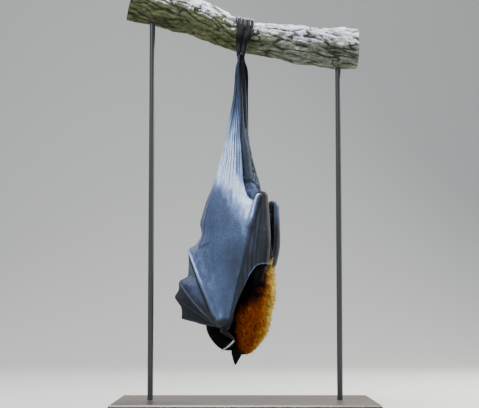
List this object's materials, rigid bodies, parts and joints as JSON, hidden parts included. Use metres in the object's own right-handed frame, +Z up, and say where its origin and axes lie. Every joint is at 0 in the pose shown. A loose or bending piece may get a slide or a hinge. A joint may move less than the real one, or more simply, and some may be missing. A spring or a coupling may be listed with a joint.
{
  "type": "sleeping flying fox on a perch",
  "caption": "Life-size large fruit bat asleep head down, wings wrapped round its body, gripping a cut branch held on a plain two-rod display stand.",
  "frame": {"origin": "centre of the underside of the display stand's base", "axes": "+Z up; +X along the branch, towards its lower end; the bat's right side faces -Y, and its belly faces -X"},
  "size_m": [0.36, 0.22, 0.6076],
  "materials": {
    "wing_membrane": "thin slate-grey skin, satin with a strong pale sheen",
    "bare_skin": "dark grey-brown wrinkled skin, satin",
    "dark_fur": "short black-brown fur",
    "mantle_fur": "dense golden to rust-brown fur",
    "eye": "wet dark brown eye",
    "claw": "polished dark horn",
    "bark": "rough fissured bark with pale lichen on top",
    "stand_wood": "plain dark stained wood, satin",
    "stand_metal": "satin black rod"
  },
  "bodies": {
    "root": {"ear_left": "bare_skin", "ear_right": "bare_skin", "eye_left": "eye", "eye_right": "eye", "foot_left": "bare_skin", "foot_right": "bare_skin", "forearm_left": "bare_skin", "forearm_right": "bare_skin", "front_web_left": "wing_membrane", "front_web_right": "wing_membrane", "head": "dark_fur", "leg_left": "dark_fur", "leg_right": "dark_fur", "neck": "mantle_fur", "perch": "bark", "stand_base": "stand_wood", "stand_rod_left": "stand_metal", "stand_rod_right": "stand_metal", "thumb_left": "bare_skin", "thumb_right": "bare_skin", "trunk": "dark_fur", "upper_arm_left": "dark_fur", "upper_arm_right": "dark_fur", "wing_palm_left": "wing_membrane", "wing_palm_right": "wing_membrane", "wing_tip_left": "wing_membrane", "wing_tip_right": "wing_membrane"}
  },
  "joints": []
}
